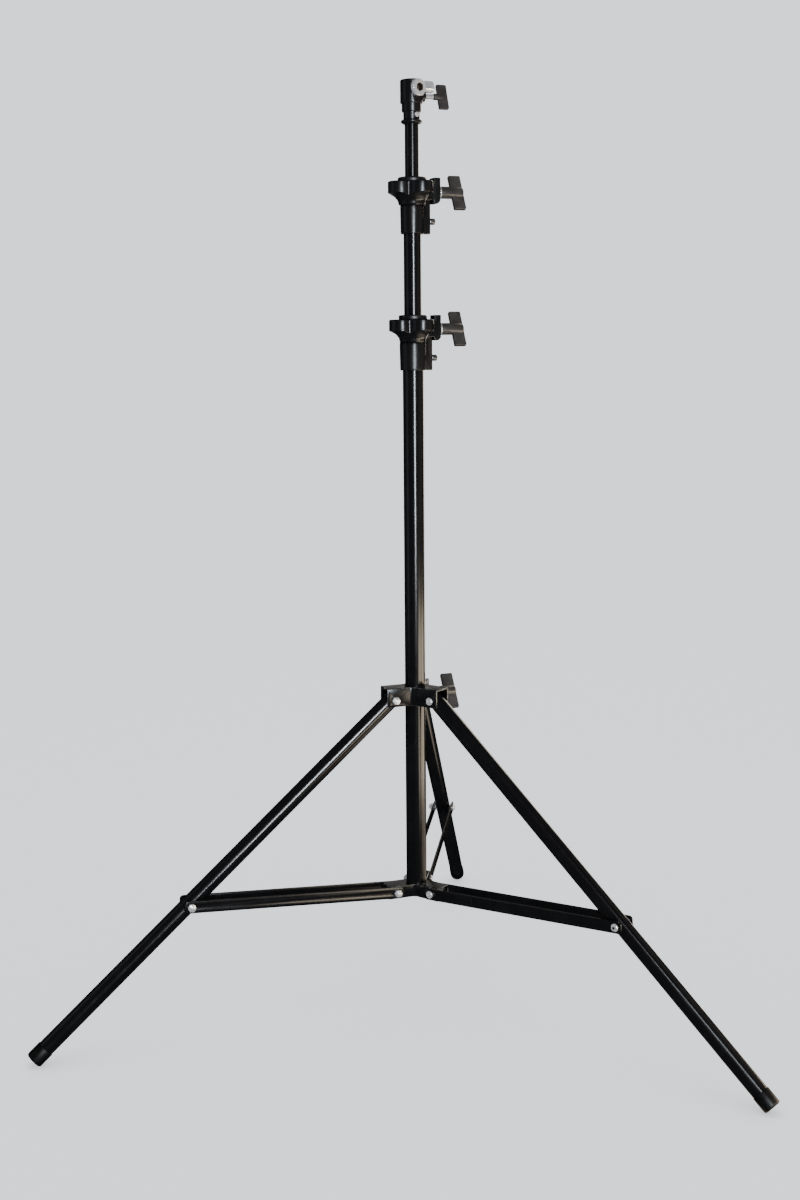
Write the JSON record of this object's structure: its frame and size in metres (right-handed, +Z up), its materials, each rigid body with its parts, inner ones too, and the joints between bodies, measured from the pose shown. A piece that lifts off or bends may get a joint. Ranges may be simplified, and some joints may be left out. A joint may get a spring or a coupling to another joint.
{
  "type": "telescopic lighting stand",
  "caption": "Black telescopic lighting stand: folding braced tripod, round mast sliding in clamp collars with T-handles, and a spigot socket head.",
  "frame": {"origin": "on the floor, in the middle of the box round the three feet; the mast axis stands 165.5 mm from it towards -Y", "axes": "+Z up along the mast towards the head, +Y towards the rear leg, +X towards the right leg's side"},
  "size_m": [1.1812, 1.0268, 1.5759],
  "materials": {
    "black_tube": "semi-gloss black powder coat",
    "black_casting": "semi-gloss black paint over a die casting",
    "black_steel": "semi-gloss black paint over pressed steel",
    "black_plastic": "moulded black nylon",
    "handle_plastic": "moulded black nylon with a soft sheen",
    "rubber": "matt black rubber",
    "zinc_steel": "bright zinc plate",
    "bright_bolts": "bright plated steel",
    "chrome": "polished chrome plate",
    "brass": "machined brass"
  },
  "bodies": {
    "mast": {"base_tube": "black_tube", "base_plug": "black_plastic", "collar_1": "black_casting", "collar_1_bush": "black_plastic", "collar_1_shoe": "brass", "collar_1_screw": "zinc_steel", "lower_bracket": "black_steel", "lower_bracket_screw": "zinc_steel", "lower_pivot_bolts": "bright_bolts", "lower_pivot_nuts": "zinc_steel"},
    "riser_2": {"riser_2_tube": "black_tube", "riser_2_guide": "black_plastic", "collar_2": "black_casting", "collar_2_bush": "black_plastic", "collar_2_shoe": "brass", "collar_2_screw": "zinc_steel"},
    "riser_3": {"riser_3_tube": "black_tube", "riser_3_guide": "black_plastic", "head_body": "black_casting", "head_ring": "black_casting", "head_screw": "bright_bolts", "cross_socket": "chrome", "side_stud": "chrome"},
    "slider": {"slider_bracket": "black_steel", "slider_bush": "black_plastic", "slider_shoe": "brass", "slider_pivot_bolts": "bright_bolts", "slider_pivot_nuts": "zinc_steel"},
    "clamp_handle_1": {"clamp_1_handle": "handle_plastic", "clamp_1_stud": "zinc_steel", "clamp_1_washer": "zinc_steel"},
    "clamp_handle_2": {"clamp_2_handle": "handle_plastic", "clamp_2_stud": "zinc_steel", "clamp_2_washer": "zinc_steel"},
    "slider_handle": {"slider_clamp_handle": "handle_plastic", "slider_clamp_stud": "zinc_steel", "slider_clamp_washer": "zinc_steel"},
    "head_handle": {"head_handle": "handle_plastic", "head_stud": "zinc_steel"},
    "leg_rear": {"leg_rear_tube": "black_tube", "leg_rear_plug": "black_plastic", "leg_rear_foot": "rubber"},
    "brace_rear": {"brace_rear_strips": "black_steel", "brace_rear_washers": "zinc_steel", "brace_rear_studs": "bright_bolts"},
    "leg_left": {"leg_left_tube": "black_tube", "leg_left_plug": "black_plastic", "leg_left_foot": "rubber"},
    "brace_left": {"brace_left_strips": "black_steel", "brace_left_washers": "zinc_steel", "brace_left_studs": "bright_bolts"},
    "leg_right": {"leg_right_tube": "black_tube", "leg_right_plug": "black_plastic", "leg_right_foot": "rubber"},
    "brace_right": {"brace_right_strips": "black_steel", "brace_right_washers": "zinc_steel", "brace_right_studs": "bright_bolts"}
  },
  "joints": [
    {"name": "fold_slide", "type": "slide", "parent": "mast", "child": "slider", "axis": [0, 0, 1], "range_m": [0, 0.5068]},
    {"name": "riser_2_slide", "type": "slide", "parent": "mast", "child": "riser_2", "axis": [0, 0, 1], "range_m": [-0.13, 0.685]},
    {"name": "riser_3_slide", "type": "slide", "parent": "riser_2", "child": "riser_3", "axis": [0, 0, 1], "range_m": [-0.083, 0.77]},
    {"name": "leg_rear_fold", "type": "hinge", "parent": "slider", "child": "leg_rear", "pos_m": [0, -0.12253, 0.5509], "axis": [-1, 0, 0], "range_deg": [0, 46.29]},
    {"name": "brace_rear_fold", "type": "hinge", "parent": "mast", "child": "brace_rear", "pos_m": [0, -0.12253, 0.2122], "axis": [-1, 0, 0], "range_deg": [-82.28, 0]},
    {"name": "leg_left_fold", "type": "hinge", "parent": "slider", "child": "leg_left", "pos_m": [-0.03724, -0.18703, 0.5509], "axis": [0.5, -0.866, 0], "range_deg": [0, 46.29]},
    {"name": "brace_left_fold", "type": "hinge", "parent": "mast", "child": "brace_left", "pos_m": [-0.03724, -0.18703, 0.2122], "axis": [0.5, -0.866, 0], "range_deg": [-82.28, 0]},
    {"name": "leg_right_fold", "type": "hinge", "parent": "slider", "child": "leg_right", "pos_m": [0.03724, -0.18703, 0.5509], "axis": [0.5, 0.866, 0], "range_deg": [0, 46.29]},
    {"name": "brace_right_fold", "type": "hinge", "parent": "mast", "child": "brace_right", "pos_m": [0.03724, -0.18703, 0.2122], "axis": [0.5, 0.866, 0], "range_deg": [-82.28, 0]},
    {"name": "clamp_1_turn", "type": "hinge", "parent": "mast", "child": "clamp_handle_1", "pos_m": [0.02598, -0.15053, 1.1747], "axis": [0.866, 0.5, 0], "range_deg": [0, 450]},
    {"name": "clamp_2_turn", "type": "hinge", "parent": "riser_2", "child": "clamp_handle_2", "pos_m": [0.02598, -0.15053, 1.3978], "axis": [0.866, 0.5, 0], "range_deg": [0, 450]},
    {"name": "slider_clamp_turn", "type": "hinge", "parent": "slider", "child": "slider_handle", "pos_m": [0.02598, -0.15053, 0.5556], "axis": [0.866, 0.5, 0], "range_deg": [0, 450]},
    {"name": "head_clamp_turn", "type": "hinge", "parent": "riser_3", "child": "head_handle", "pos_m": [0.02598, -0.15053, 1.5509], "axis": [0.866, 0.5, 0], "range_deg": [0, 450]}
  ],
  "couplings": [
    {"joint": "leg_rear_fold", "follows": "fold_slide", "rad_per_m": 1.5923},
    {"joint": "brace_rear_fold", "follows": "fold_slide", "rad_per_m": -2.832},
    {"joint": "leg_left_fold", "follows": "fold_slide", "rad_per_m": 1.5923},
    {"joint": "brace_left_fold", "follows": "fold_slide", "rad_per_m": -2.832},
    {"joint": "leg_right_fold", "follows": "fold_slide", "rad_per_m": 1.5923},
    {"joint": "brace_right_fold", "follows": "fold_slide", "rad_per_m": -2.832}
  ]
}
